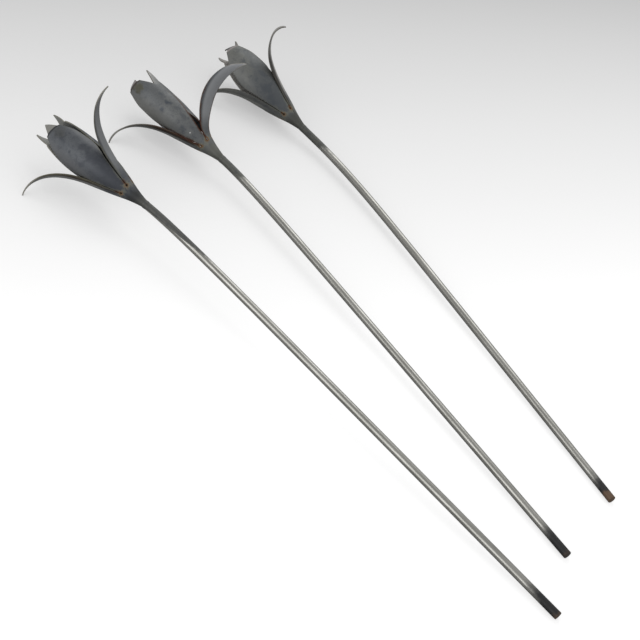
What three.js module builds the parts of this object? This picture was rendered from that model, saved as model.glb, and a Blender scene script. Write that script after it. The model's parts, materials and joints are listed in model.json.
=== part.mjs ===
// Three forged steel lilies that lie side by side, each a round bar stem with a slit sheet cone for a flower.
import * as THREE from 'three';
import { mergeVertices } from 'three/addons/utils/BufferGeometryUtils.js';

// Stem bar, in millimetres
const BAR_DIAMETER = 12.7;
const STEM_LENGTH = 890;
const END_CHAMFER = 0.8;
const SPIGOT_DIAMETER = 7.9;
const SPIGOT_LENGTH = 18;

// Weld at the neck, between the shoulder of the bar and the narrow end of the cone
const WELD_LENGTH = 6;
const WELD_CROWN = 0.35;
const WELD_TOE = 0.1;
const SEAT_GAP = 0.3;

// Flower head, one sheet rolled into a cone and slit six times
const SHEET = 2;
const CONE_LENGTH = 34;
const CONE_MOUTH_DIAMETER = 30;
const CONE_FLARE = 0.35;
const SLIT_WIDTH = 1.4;
const KEYHOLE_DIAMETER = 4.4;
const KEYHOLE_FLAT = 1.4;
const TIP_WIDTH = 1.2;

// Shares of the way from root width to full width, at shares of the petal's length
const INNER_SWELL = [
  [0.12, 0.2],
  [0.3, 0.6],
  [0.5, 1],
];
const OUTER_SWELL = [
  [0.2, 0.6],
  [0.45, 1],
];

// Wide inner petals that close into the bud
const INNER_LENGTH = 184;
const INNER_WIDTH = 62;
const INNER_WANE = 0.86;
const INNER_WANE_AT = 125;
const INNER_SHOULDER_WIDTH = 25;
const INNER_SHOULDER_AT = 155;
const INNER_TIP_BASE = 19;
const INNER_CUP_RADIUS = 36;
const INNER_CURL = -37;
const INNER_SHARPNESS = 1.3;

// Narrow outer petals that curl away from the bud
const OUTER_LENGTH = 172;
const OUTER_WIDTH = 21;
const OUTER_CUP_RADIUS = 19;
const OUTER_WANE = 0.68;
const OUTER_WANE_AT = 129;

// Lengths over which a petal tip bends at its shoulder, its shoulder narrows and its root is spread
const FOLD_LENGTH = 5;
const SHOULDER_STEP = 1.5;
const SPREAD_LENGTH = 30;

// Stretch over which a petal's cross curve leaves the round of the cone
const CUP_FROM = 15;
const CUP_TO = 80;

// How late along the stem its bow and its turn at the neck set in
const BOW_LATENESS = 8;
const NECK_LATENESS = 40;

// Facets, and the step of the walk along a petal or a stem
const WALK_STEP = 2;
const BAR_STATIONS = [0.3, 0.55, 0.7, 0.8, 0.87, 0.92, 0.95, 0.97, 0.985];
const KEYHOLE_STATIONS = [0.2, 0.8, 1.05];
const STATION_CLEARANCE = 3;
const BAR_SIDES = 16;
const WELD_SIDES = 24;
const INNER_COLUMNS = 8;
const OUTER_COLUMNS = 4;
const INNER_RINGS = 15;
const OUTER_RINGS = 16;
const CONE_RINGS = 4;
const POINT_TOLERANCE = 1e-4;

// Where the free ends of the stems lie, from the middle one's
const NEAR_STEM_END = [80, -97];
const MIDDLE_STEM_END = [0, 0];
const FAR_STEM_END = [-58, 157];

// How each lily's smith bent it, in degrees, with its cup radii in millimetres
const LILIES = [
  {
    name: 'near_lily',
    stemEnd: NEAR_STEM_END,
    heading: 9,
    bow: 4.5,
    neckTurn: 7.4,
    neckLift: 2,
    roll: 0.7,
    bent: {
      inner_near: { curl: -49, sharpness: 1.1, cup: 34, broad: 1.04, tipBend: -18, sway: -18, twist: 10 },
      inner_far: { curl: -42, sharpness: 1.2, broad: 0.85, tipBend: 42, sway: -26 },
      inner_bottom: { curl: -44, sharpness: 1.1, broad: 0.96, tipBend: 45, twist: 3 },
      outer_top: { curl: 90, sharpness: 2, spread: -1, broad: 0.82, sway: -6 },
      outer_near: { curl: 102, sharpness: 3.2, spread: -2, broad: 0.88, sway: 3, twist: -12 },
      outer_far: { curl: 88, sharpness: 2 },
    },
  },
  {
    name: 'middle_lily',
    stemEnd: MIDDLE_STEM_END,
    heading: 0.7,
    bow: 4.8,
    neckTurn: 13,
    neckLift: 6.5,
    roll: -8.5,
    bent: {
      inner_near: { curl: -43, sharpness: 1.45, cup: 29, broad: 1.03, tipBend: -46, sway: 25 },
      inner_far: { curl: -43, sharpness: 1.1, cup: 26, broad: 0.75, tipBend: 55, sway: -10, twist: -15 },
      inner_bottom: { curl: -39, sharpness: 1, cup: 27, broad: 0.76, tipBend: -24, sway: 7 },
      outer_top: { curl: 91, sharpness: 1.3, spread: 27, broad: 1.15, twist: -92 },
      outer_near: { curl: 103.5, sharpness: 2.85, spread: -2, broad: 0.94, sway: 5, twist: -33 },
      outer_far: { curl: 88, sharpness: 3, sway: 10 },
    },
  },
  {
    name: 'far_lily',
    stemEnd: FAR_STEM_END,
    heading: -4.5,
    bow: 14.4,
    neckTurn: 5.6,
    neckLift: 8.5,
    roll: -14.2,
    bent: {
      inner_near: { curl: -53, sharpness: 1.75, cup: 44, broad: 1.02, tipBend: -36, sway: -28, twist: 7 },
      inner_far: { curl: -40, sharpness: 1.1, broad: 0.9, tipBend: 60, sway: -14 },
      inner_bottom: { curl: -51, sharpness: 1.15, cup: 34, broad: 0.81, tipBend: 70, sway: 32, twist: 10 },
      outer_top: { curl: 127, sharpness: 3.1, sway: 6, twist: 34 },
      outer_near: { curl: 97.5, sharpness: 3.3, broad: 1.2, sway: 8.5, twist: -23 },
      outer_far: { curl: 100, sharpness: 3, sway: 22 },
    },
  },
];

// The six petals, by their turn about the flower's axis from straight up towards the viewer
const PETALS = [
  { name: 'outer_top', kind: 'outer', azimuth: 0 },
  { name: 'inner_near', kind: 'inner', azimuth: 60 },
  { name: 'outer_near', kind: 'outer', azimuth: 120 },
  { name: 'inner_bottom', kind: 'inner', azimuth: 180 },
  { name: 'outer_far', kind: 'outer', azimuth: 240 },
  { name: 'inner_far', kind: 'inner', azimuth: 300 },
];

const BAR_RADIUS = BAR_DIAMETER / 2;
const CONE_MOUTH_RADIUS = CONE_MOUTH_DIAMETER / 2;
const SECTOR = THREE.MathUtils.degToRad(180 / PETALS.length);
const radians = THREE.MathUtils.degToRad;

const barSteel = new THREE.MeshStandardMaterial({ color: 0x84857f, roughness: 0.38, metalness: 1 });
const scaledSteel = new THREE.MeshStandardMaterial({ color: 0x4d5257, roughness: 0.6, metalness: 0.75 });
const weldSteel = new THREE.MeshStandardMaterial({ color: 0x55564f, roughness: 0.65, metalness: 0.7 });

// Outer radius of the cone, which flares a little towards its mouth
function coneRadius(axial) {
  const share = axial / CONE_LENGTH;
  const growth = share * (1 - CONE_FLARE) + share * share * CONE_FLARE;
  return BAR_RADIUS + (CONE_MOUTH_RADIUS - BAR_RADIUS) * growth;
}

const CONE_MOUTH_SLOPE = THREE.MathUtils.radToDeg(
  Math.atan(((CONE_MOUTH_RADIUS - BAR_RADIUS) / CONE_LENGTH) * (1 + CONE_FLARE)),
);

// Half the gap between two petals: a round keyhole at the end of the slit, then the slit
function halfGap(distance) {
  const holeRadius = KEYHOLE_DIAMETER / 2;
  const fromCentre = distance - holeRadius;
  if (Math.abs(fromCentre) >= holeRadius) return distance > 0 ? SLIT_WIDTH / 2 : KEYHOLE_FLAT / 2;
  const hole = Math.sqrt(holeRadius * holeRadius - fromCentre * fromCentre);
  return Math.max(SLIT_WIDTH / 2, hole);
}

// Flat pattern of a petal: half its width at each distance from the end of its slits
function widthLine(kind) {
  const root = CONE_MOUTH_RADIUS * SECTOR - SLIT_WIDTH / 2;
  const inner = kind === 'inner';
  const length = inner ? INNER_LENGTH : OUTER_LENGTH;
  const half = (inner ? INNER_WIDTH : OUTER_WIDTH) / 2;
  const points = [new THREE.Vector2(0, root)];
  for (const [at, share] of inner ? INNER_SWELL : OUTER_SWELL) {
    points.push(new THREE.Vector2(length * at, root + (half - root) * share));
  }
  if (inner) {
    points.push(new THREE.Vector2(INNER_WANE_AT, half * INNER_WANE));
    points.push(new THREE.Vector2(INNER_SHOULDER_AT, INNER_SHOULDER_WIDTH / 2));
    points.push(new THREE.Vector2(INNER_SHOULDER_AT + SHOULDER_STEP, INNER_TIP_BASE / 2));
  } else {
    points.push(new THREE.Vector2(OUTER_WANE_AT, half * OUTER_WANE));
  }
  points.push(new THREE.Vector2(length, TIP_WIDTH / 2));
  return points;
}

// Height of a line through points, by monotone cubic steps between them
function heightAt(points, x) {
  const last = points.length - 1;
  const slopes = points.slice(1).map((point, i) => (point.y - points[i].y) / (point.x - points[i].x));
  const tangents = points.map((point, i) => {
    if (i === 0) return slopes[0];
    if (i === last) return slopes[last - 1];
    const before = slopes[i - 1];
    const after = slopes[i];
    return before * after <= 0 ? 0 : (2 * before * after) / (before + after);
  });
  let i = 0;
  while (i < last - 1 && x > points[i + 1].x) i += 1;
  const span = points[i + 1].x - points[i].x;
  const t = THREE.MathUtils.clamp((x - points[i].x) / span, 0, 1);
  const t2 = t * t;
  const t3 = t2 * t;
  const ends = (2 * t3 - 3 * t2 + 1) * points[i].y + (3 * t2 - 2 * t3) * points[i + 1].y;
  const bends = (t3 - 2 * t2 + t) * tangents[i] + (t3 - t2) * tangents[i + 1];
  return ends + bends * span;
}

const WIDTH_LINES = { inner: widthLine('inner'), outer: widthLine('outer') };

// A petal's kind, with the bends of this one
function petalShape(petal, bend) {
  const inner = petal.kind === 'inner';
  return {
    azimuth: petal.azimuth,
    length: inner ? INNER_LENGTH : OUTER_LENGTH,
    widths: WIDTH_LINES[petal.kind],
    broad: bend.broad ?? 1,
    cup: bend.cup ?? (inner ? INNER_CUP_RADIUS : OUTER_CUP_RADIUS),
    columns: inner ? INNER_COLUMNS : OUTER_COLUMNS,
    rings: inner ? INNER_RINGS : OUTER_RINGS,
    shoulder: inner ? INNER_SHOULDER_AT : OUTER_LENGTH,
    curl: bend.curl ?? INNER_CURL,
    sharpness: bend.sharpness ?? INNER_SHARPNESS,
    spread: bend.spread ?? 0,
    tipBend: bend.tipBend ?? 0,
    twist: bend.twist ?? 0,
    sway: bend.sway ?? 0,
  };
}

// Lean of a petal away from the flower's axis
function petalSlope(shape, distance) {
  const curl = shape.curl * (distance / shape.length) ** shape.sharpness;
  const folded = THREE.MathUtils.smoothstep(distance, shape.shoulder, shape.shoulder + FOLD_LENGTH);
  const spread = shape.spread * THREE.MathUtils.smoothstep(distance, 0, SPREAD_LENGTH);
  return radians(CONE_MOUTH_SLOPE + spread + curl + shape.tipBend * folded);
}

// Direction away from the axis at a turn from straight up
function outward(azimuth) {
  return new THREE.Vector3(0, Math.sin(azimuth), Math.cos(azimuth));
}

// Distances along a petal: close round the keyhole and the fold, even elsewhere
function petalStations(shape) {
  const stations = KEYHOLE_STATIONS.map((share) => KEYHOLE_DIAMETER * share);
  const start = stations[stations.length - 1];
  for (let i = 1; i <= shape.rings; i += 1) stations.push(start + ((shape.length - start) * i) / shape.rings);
  if (shape.tipBend === 0) return stations;
  const fold = [shape.shoulder, shape.shoulder + SHOULDER_STEP, shape.shoulder + FOLD_LENGTH];
  const clear = (station) => fold.every((edge) => Math.abs(station - edge) > STATION_CLEARANCE);
  const kept = stations.filter(clear);
  return [...kept, ...fold].sort((a, b) => a - b);
}

// One section of a petal: its points on the outer and on the inner face
function petalSection(shape, distance, axial, radius, roll) {
  const bend = distance / shape.length;
  const azimuth = radians(shape.azimuth + roll + shape.sway * bend * bend);
  const slope = petalSlope(shape, distance);
  const away = outward(azimuth);
  const along = new THREE.Vector3(Math.cos(slope), 0, 0).addScaledVector(away, Math.sin(slope));
  const across = new THREE.Vector3(0, Math.cos(azimuth), -Math.sin(azimuth));
  const square = new THREE.Vector3().crossVectors(along, across).normalize();
  if (square.dot(away) < 0 && slope < Math.PI / 2) square.negate();
  const settled = THREE.MathUtils.smoothstep(distance, 0, CONE_LENGTH);
  const up = away.clone().lerp(square, settled).normalize();
  const twist = radians(shape.twist * bend);
  up.applyAxisAngle(along, twist);
  across.applyAxisAngle(along, twist);
  const cup = THREE.MathUtils.lerp(radius, shape.cup, THREE.MathUtils.smoothstep(distance, CUP_FROM, CUP_TO));
  const grown = 1 + (shape.broad - 1) * settled;
  const half = heightAt(shape.widths, distance) * grown + SLIT_WIDTH / 2 - halfGap(distance);
  const centre = new THREE.Vector3(axial, 0, 0).addScaledVector(away, radius);
  const outer = [];
  const inner = [];
  for (let column = 0; column <= shape.columns; column += 1) {
    const angle = ((column / shape.columns) * 2 - 1) * (half / cup);
    const normal = up.clone().multiplyScalar(Math.cos(angle)).addScaledVector(across, Math.sin(angle));
    const middle = centre.clone().addScaledVector(up, -cup).addScaledVector(normal, cup);
    outer.push(middle.clone().addScaledVector(normal, SHEET / 2));
    inner.push(middle.clone().addScaledVector(normal, -SHEET / 2));
  }
  return { outer, inner };
}

// All sections of a petal from the mouth of the cone to its tip
function petalSections(shape, roll) {
  const sections = [];
  let distance = 0;
  let axial = CONE_LENGTH;
  let radius = CONE_MOUTH_RADIUS - SHEET / 2;
  for (const station of petalStations(shape)) {
    const steps = Math.max(1, Math.ceil((station - distance) / WALK_STEP));
    const step = (station - distance) / steps;
    for (let i = 0; i < steps; i += 1) {
      const slope = petalSlope(shape, distance + step / 2);
      axial += Math.cos(slope) * step;
      radius += Math.sin(slope) * step;
      distance += step;
    }
    sections.push(petalSection(shape, station, axial, radius, roll));
  }
  return sections;
}

// One ring of the cone, split into the six sectors that carry the petals
function coneRing(axial, shapes, roll) {
  const radius = coneRadius(axial);
  const seat = SPIGOT_DIAMETER / 2 + SEAT_GAP;
  const bore = Math.max(seat, radius - SHEET);
  const gap = KEYHOLE_FLAT / 2 / CONE_MOUTH_RADIUS;
  return shapes.map((shape) => {
    const outer = [];
    const inner = [];
    for (let column = 0; column <= shape.columns; column += 1) {
      const angle = ((column / shape.columns) * 2 - 1) * (SECTOR - gap);
      const away = outward(radians(shape.azimuth + roll) + angle);
      outer.push(new THREE.Vector3(axial, 0, 0).addScaledVector(away, radius));
      inner.push(new THREE.Vector3(axial, 0, 0).addScaledVector(away, bore));
    }
    return { outer, inner };
  });
}

// Collects four-sided faces and returns them as one closed geometry
class Faces {
  constructor() {
    this.positions = [];
  }

  triangle(a, b, c) {
    for (const point of [a, b, c]) this.positions.push(point.x, point.y, point.z);
  }

  quad(a, b, c, d) {
    this.triangle(a, b, c);
    this.triangle(a, c, d);
  }

  strip(first, second) {
    for (let i = 0; i + 1 < first.length; i += 1) this.quad(first[i], first[i + 1], second[i + 1], second[i]);
  }

  geometry() {
    const soup = new THREE.BufferGeometry();
    soup.setAttribute('position', new THREE.Float32BufferAttribute(this.positions, 3));
    const merged = mergeVertices(soup, POINT_TOLERANCE);
    merged.computeVertexNormals();
    return merged;
  }
}

// The whole flower head: cone and petals as one sheet of even thickness
function headGeometry(lily) {
  const shapes = PETALS.map((petal) => petalShape(petal, lily.bent[petal.name]));
  const faces = new Faces();
  const rings = [];
  for (let i = 0; i <= CONE_RINGS; i += 1) {
    rings.push(coneRing((CONE_LENGTH * i) / CONE_RINGS, shapes, lily.roll));
  }
  const round = (ring, side) => [...ring.flatMap((sector) => sector[side]), ring[0][side][0]];
  for (let i = 0; i < CONE_RINGS; i += 1) {
    faces.strip(round(rings[i + 1], 'outer'), round(rings[i], 'outer'));
    faces.strip(round(rings[i], 'inner'), round(rings[i + 1], 'inner'));
  }
  faces.strip(round(rings[0], 'outer'), round(rings[0], 'inner'));
  const mouth = rings[CONE_RINGS];
  mouth.forEach((sector, i) => {
    const next = mouth[(i + 1) % mouth.length];
    const last = sector.outer.length - 1;
    faces.quad(sector.inner[last], next.inner[0], next.outer[0], sector.outer[last]);
  });
  shapes.forEach((shape, i) => {
    const sections = [mouth[i], ...petalSections(shape, lily.roll)];
    const last = shape.columns;
    for (let k = 0; k + 1 < sections.length; k += 1) {
      const here = sections[k];
      const there = sections[k + 1];
      faces.strip(there.outer, here.outer);
      faces.strip(here.inner, there.inner);
      faces.quad(here.outer[0], here.inner[0], there.inner[0], there.outer[0]);
      faces.quad(there.outer[last], there.inner[last], here.inner[last], here.outer[last]);
    }
    const tip = sections[sections.length - 1];
    faces.strip(tip.inner, tip.outer);
  });
  return faces.geometry();
}

// Heading and lift of the stem away from its straight end, at a share of its length
function stemDirection(lily, share) {
  const bent = Math.min(1, share);
  return {
    turn: radians(lily.bow * bent ** BOW_LATENESS + lily.neckTurn * bent ** NECK_LATENESS),
    lift: radians(lily.neckLift * bent ** NECK_LATENESS),
  };
}

// Place and direction of the stem's centre line at a distance from its free end
function stemPlace(lily, distance) {
  const steps = Math.ceil(distance / WALK_STEP);
  const step = distance / steps;
  const place = new THREE.Vector3();
  for (let i = 0; i < steps; i += 1) {
    const { turn, lift } = stemDirection(lily, ((i + 0.5) * step) / STEM_LENGTH);
    place.x += Math.cos(turn) * Math.cos(lift) * step;
    place.y += Math.sin(turn) * Math.cos(lift) * step;
    place.z += Math.sin(lift) * step;
  }
  const { turn, lift } = stemDirection(lily, distance / STEM_LENGTH);
  const matrix = new THREE.Matrix4().makeRotationZ(turn);
  return matrix.multiply(new THREE.Matrix4().makeRotationY(-lift)).setPosition(place);
}

// A turned profile of [radius, distance] pairs, bent along the stem's line
function bentLathe(profile, sides, lily) {
  const points = profile.map(([radius, distance]) => new THREE.Vector2(radius, distance));
  const geometry = new THREE.LatheGeometry(points, sides);
  geometry.deleteAttribute('normal');
  geometry.deleteAttribute('uv');
  const position = geometry.attributes.position;
  const places = new Map();
  const point = new THREE.Vector3();
  for (let i = 0; i < position.count; i += 1) {
    const distance = position.getY(i);
    if (!places.has(distance)) places.set(distance, stemPlace(lily, distance));
    point.set(0, position.getZ(i), position.getX(i)).applyMatrix4(places.get(distance));
    position.setXYZ(i, point.x, point.y, point.z);
  }
  const merged = mergeVertices(geometry, POINT_TOLERANCE);
  merged.computeVertexNormals();
  return merged;
}

// The round bar, chamfered at its free end, with a shoulder and a spigot for the cone
function stemGeometry(lily) {
  const shoulder = STEM_LENGTH - WELD_LENGTH / 2 - SEAT_GAP;
  const stations = BAR_STATIONS.map((share) => share * shoulder);
  const profile = [
    [0, 0],
    [BAR_RADIUS - END_CHAMFER, 0],
    [BAR_RADIUS, END_CHAMFER],
    ...stations.map((station) => [BAR_RADIUS, station]),
    [BAR_RADIUS, shoulder],
    [SPIGOT_DIAMETER / 2, shoulder],
    [SPIGOT_DIAMETER / 2, STEM_LENGTH + SPIGOT_LENGTH],
    [0, STEM_LENGTH + SPIGOT_LENGTH],
  ];
  return bentLathe(profile, BAR_SIDES, lily);
}

// The ring of weld round the spigot, dressed to a low crown
function weldGeometry(lily) {
  const start = STEM_LENGTH - WELD_LENGTH / 2;
  const end = STEM_LENGTH + WELD_LENGTH / 2 - SEAT_GAP;
  const bore = SPIGOT_DIAMETER / 2 + SEAT_GAP;
  const profile = [
    [bore, start],
    [BAR_RADIUS, start],
    [BAR_RADIUS + WELD_CROWN, (start + end) / 2],
    [BAR_RADIUS + WELD_TOE, end],
    [bore, end],
    [bore, start],
  ];
  return bentLathe(profile, WELD_SIDES, lily);
}

// Tilt at which the lily lies on the floor, on the rim of its stem and on its lowest petals
function lyingTilt(head) {
  const point = new THREE.Vector3();
  const position = head.geometry.attributes.position;
  head.updateMatrix();
  let tilt = 0;
  for (let i = 0; i < position.count; i += 1) {
    point.fromBufferAttribute(position, i).applyMatrix4(head.matrix);
    tilt = Math.max(tilt, Math.atan2(-(point.z + BAR_RADIUS), point.x));
  }
  return tilt;
}

// One lily: stem, weld and head in its own frame, then tilted, turned and put in its place
function buildLily(lily) {
  const stem = new THREE.Mesh(stemGeometry(lily), barSteel);
  stem.name = `${lily.name}_stem`;
  const weld = new THREE.Mesh(weldGeometry(lily), weldSteel);
  weld.name = `${lily.name}_neck_weld`;
  const head = new THREE.Mesh(headGeometry(lily), scaledSteel);
  head.name = `${lily.name}_flower_head`;
  const neck = stemPlace(lily, STEM_LENGTH + WELD_LENGTH / 2);
  neck.decompose(head.position, head.quaternion, head.scale);
  const axis = new THREE.Group();
  axis.add(stem, weld, head);
  axis.position.z = BAR_RADIUS;
  const tilted = new THREE.Group();
  tilted.rotation.y = -lyingTilt(head);
  tilted.add(axis);
  const placed = new THREE.Group();
  placed.rotation.z = Math.PI + radians(lily.heading);
  placed.position.set(lily.stemEnd[0], lily.stemEnd[1], 0);
  placed.add(tilted);
  return placed;
}

// The three lilies, with the origin under the middle of the whole
const sculpture = new THREE.Group();
for (const lily of LILIES) sculpture.add(buildLily(lily));
const bounds = new THREE.Box3().setFromObject(sculpture, true);
const middle = bounds.getCenter(new THREE.Vector3());
sculpture.position.set(-middle.x, -middle.y, -bounds.min.z);

export default sculpture;
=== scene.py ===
import json
import math

import bpy
from mathutils import Matrix, Vector, noise


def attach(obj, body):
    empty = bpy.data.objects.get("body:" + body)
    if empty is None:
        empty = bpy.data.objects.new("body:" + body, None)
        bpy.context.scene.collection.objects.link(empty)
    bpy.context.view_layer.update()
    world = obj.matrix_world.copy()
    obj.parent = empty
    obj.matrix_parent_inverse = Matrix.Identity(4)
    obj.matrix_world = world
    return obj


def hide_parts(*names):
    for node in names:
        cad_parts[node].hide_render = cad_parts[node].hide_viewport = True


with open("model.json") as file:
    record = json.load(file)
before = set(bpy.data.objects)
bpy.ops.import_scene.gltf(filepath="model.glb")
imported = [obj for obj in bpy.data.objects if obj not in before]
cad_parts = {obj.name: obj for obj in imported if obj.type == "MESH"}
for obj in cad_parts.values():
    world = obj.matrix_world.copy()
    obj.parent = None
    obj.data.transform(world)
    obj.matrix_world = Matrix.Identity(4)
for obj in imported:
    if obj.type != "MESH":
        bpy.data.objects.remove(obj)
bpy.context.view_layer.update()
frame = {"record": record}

# Sizes of the lilies, in metres
MM = 0.001
BAR_RADIUS = 12.7 * MM / 2
STEM_LENGTH = 890 * MM
END_CHAMFER = 0.8 * MM
WELD_LENGTH = 6 * MM
WELD_CROWN = 0.35 * MM
SHEET = 2 * MM
SHEET_EDGE_ROUND = 0.45 * MM
CONE_LENGTH = 34 * MM
CONE_MOUTH_RADIUS = 15 * MM
CONE_FLARE = 0.35
SLIT_WIDTH = 1.4 * MM
KEYHOLE_RADIUS = 2.2 * MM
TIP_WIDTH = 1.2 * MM
FOLD_LENGTH = 3.5 * MM
SHOULDER_STEP = 1 * MM
SPREAD_LENGTH = 30 * MM
CUP_FROM = 15 * MM
CUP_TO = 80 * MM
BOW_LATENESS = 8
NECK_LATENESS = 40
WALK_STEP = 1 * MM
SECTOR = math.radians(30)
EDGE_ANGLE = math.radians(55)
SMOOTH_ANGLE = math.radians(40)

# Hammer dents of the petals, and the weld's lap over its neighbours, its uneven bead and the toes it thins out to
DENT_SPREAD = 22 * MM
DENT_DEPTH = 0.35 * MM
DENTS_FADE_FROM = 0.8
WELD_LAP = 1 * MM
WELD_BEAD = 0.12 * MM
WELD_TOE = 0.05 * MM
BEAD_AROUND = 2.5
BEAD_ALONG = 1.5

# How finely the shapes are built, with the rows at shares of the keyhole and of the fold
CONE_ROWS = 12
PETAL_ROWS = 64
HOLE_ROWS = (0.03, 0.1, 0.2, 0.35, 0.5, 0.65, 0.8, 0.92, 1.02)
FOLD_ROWS = (0.45, 0.65, 0.8, 1)
FOLD_MARGIN = 1 * MM
BAR_SIDES = 48
BAR_CUTS = 160
CHAMFER_SEGMENTS = 3
WELD_SIDES = 64
WELD_CUTS = 12
EDGE_SEGMENTS = 2
JOIN_DISTANCE = 0.05 * MM

# Flat patterns of the wide inner and the narrow outer petals, and the petals in their order round the axis
SHOULDER = 155 * MM
INNER = {
    "length": 184 * MM,
    "width": 62 * MM,
    "swell": [(0.12, 0.2), (0.3, 0.6), (0.5, 1)],
    "wane": (125 * MM, 0.86),
    "shoulder": SHOULDER,
    "shoulder_width": 26.5 * MM,
    "tip_base": 19 * MM,
    "columns": 28,
}
OUTER = {
    "length": 172 * MM,
    "width": 21 * MM,
    "swell": [(0.2, 0.6), (0.45, 1)],
    "wane": (129 * MM, 0.68),
    "shoulder": 172 * MM,
    "columns": 12,
}
PETALS = [
    ("outer_top", OUTER, 0),
    ("inner_near", INNER, 60),
    ("outer_near", OUTER, 120),
    ("inner_bottom", INNER, 180),
    ("outer_far", OUTER, 240),
    ("inner_far", INNER, 300),
]
PETAL_NUMBERS = {petal: number for number, (petal, kind, azimuth) in enumerate(PETALS)}

# How each lily was bent, with its angles in degrees. A petal has its cup's radius in millimetres, "broad" as a share
# of the width, "cut" as a share of the length, and "late" as the power by which its twist grows along it.
BEND = ("curl", "sharpness", "cup", "broad", "tip_bend", "sway", "twist", "spread", "cut", "late")
LILIES = {
    "near_lily": {
        "bow": 4.5, "neck_turn": 7.4, "neck_lift": 2, "roll": 0.7,
        "bent": {
            "outer_top": (90, 2, 19, 0.82, 0, -6, 0, -1, 1, 1),
            "inner_near": (-49, 1.1, 34, 1.04, -18, -18, 10, 0, 1, 1),
            "outer_near": (102, 3.2, 19, 0.88, 0, 3, -12, -2, 1, 1),
            "inner_bottom": (-49, 1.65, 28, 1.02, 33, 6, 13, 0, 1, 1),
            "outer_far": (88, 2, 19, 1, 0, 0, 0, 0, 1, 1),
            "inner_far": (-36, 1.02, 30, 0.9, 33, -33, -5, 0, 1, 1),
        },
    },
    "middle_lily": {
        "bow": 4.8, "neck_turn": 13, "neck_lift": 6.5, "roll": -8.5,
        "bent": {
            "outer_top": (91, 1.3, 19, 1.15, 0, 0, -92, 27, 1, 1),
            "inner_near": (-43, 1.45, 29, 1.03, -46, 25, 0, 0, 1, 1),
            "outer_near": (103.5, 2.85, 19, 0.94, 0, 5, -33, -2, 1, 1),
            "inner_bottom": (-44, 1.35, 28, 0.9, -40, 38, 38, 0, 1, 1),
            "outer_far": (88, 3, 19, 1, 0, 10, 0, 0, 1, 1),
            "inner_far": (-34, 0.9, 25, 0.83, 19, 27, -43, 0, 0.9, 0.85),
        },
    },
    "far_lily": {
        "bow": 14.4, "neck_turn": 5.6, "neck_lift": 8.5, "roll": -14.2,
        "bent": {
            "outer_top": (127, 3.1, 19, 1, 0, 6, 34, 0, 1, 1),
            "inner_near": (-53, 1.75, 44, 1.02, -36, -28, 7, 0, 1, 1),
            "outer_near": (99.4, 3.8, 13.6, 1.03, 0, 10.5, -12, 0, 0.94, 1),
            "inner_bottom": (-46, 1.26, 36, 0.9, 59, 40, 32, 0, 1, 2),
            "outer_far": (100, 3, 19, 1, 0, 22, 0, 0, 1, 1),
            "inner_far": (-40, 1.1, 36, 0.9, 60, -14, 0, 0, 1, 1),
        },
    },
}

# Stem-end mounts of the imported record, which say where each lily lies
STEM_ENDS = {mount["name"]: mount for mount in frame["record"]["mounts"]}


def smooth(value, low, high):
    share = min(1, max(0, (value - low) / (high - low)))
    return share * share * (3 - 2 * share)


def cone_radius(axial):
    share = axial / CONE_LENGTH
    growth = share * (1 - CONE_FLARE) + share * share * CONE_FLARE
    return BAR_RADIUS + (CONE_MOUTH_RADIUS - BAR_RADIUS) * growth


CONE_MOUTH_SLOPE = math.atan((CONE_MOUTH_RADIUS - BAR_RADIUS) / CONE_LENGTH * (1 + CONE_FLARE))


def half_gap(distance):
    """Half the gap between two petals: a round keyhole at the end of the slit, then the slit."""
    from_centre = distance - KEYHOLE_RADIUS
    if abs(from_centre) >= KEYHOLE_RADIUS:
        return SLIT_WIDTH / 2 if distance > 0 else 0
    hole = math.sqrt(KEYHOLE_RADIUS ** 2 - from_centre ** 2)
    return hole if from_centre < 0 else max(SLIT_WIDTH / 2, hole)


def width_lines(kind):
    """Flat pattern of a petal: half its width at each distance, along its body and along its tip."""
    root = CONE_MOUTH_RADIUS * SECTOR - SLIT_WIDTH / 2
    half = kind["width"] / 2
    points = [(0, root)]
    points += [(kind["length"] * at, root + (half - root) * share) for at, share in kind["swell"]]
    wane_at, wane = kind["wane"]
    points.append((wane_at, half * wane))
    end = (kind["length"], TIP_WIDTH / 2)
    if "tip_base" not in kind:
        return [points + [end]]
    shoulder = (kind["shoulder"], kind["shoulder_width"] / 2)
    return [points + [shoulder], [(kind["shoulder"] + SHOULDER_STEP, kind["tip_base"] / 2), end]]


def height_at(points, x):
    """Height of a line through points, by monotone cubic steps between them."""
    last = len(points) - 1
    slopes = [(b[1] - a[1]) / (b[0] - a[0]) for a, b in zip(points, points[1:])]
    tangents = [slopes[0]]
    for before, after in zip(slopes, slopes[1:]):
        tangents.append(0 if before * after <= 0 else 2 * before * after / (before + after))
    tangents.append(slopes[-1])
    i = 0
    while i < last - 1 and x > points[i + 1][0]:
        i += 1
    span = points[i + 1][0] - points[i][0]
    t = min(1, max(0, (x - points[i][0]) / span))
    ends = (2 * t ** 3 - 3 * t ** 2 + 1) * points[i][1] + (3 * t ** 2 - 2 * t ** 3) * points[i + 1][1]
    bends = (t ** 3 - 2 * t ** 2 + t) * tangents[i] + (t ** 3 - t ** 2) * tangents[i + 1]
    return ends + bends * span


def cut_shorter(kind, share):
    """The flat pattern of a petal that was cut shorter than the others of its kind."""
    lengths = {key: kind[key] * share for key in ("length", "shoulder")}
    return kind | lengths | {"wane": (kind["wane"][0] * share, kind["wane"][1])}


def half_width(lines, distance):
    line = next((line for line in lines if distance <= line[-1][0]), lines[-1])
    return height_at(line, distance)


def outward(azimuth):
    return Vector((0, math.sin(azimuth), math.cos(azimuth)))


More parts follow.
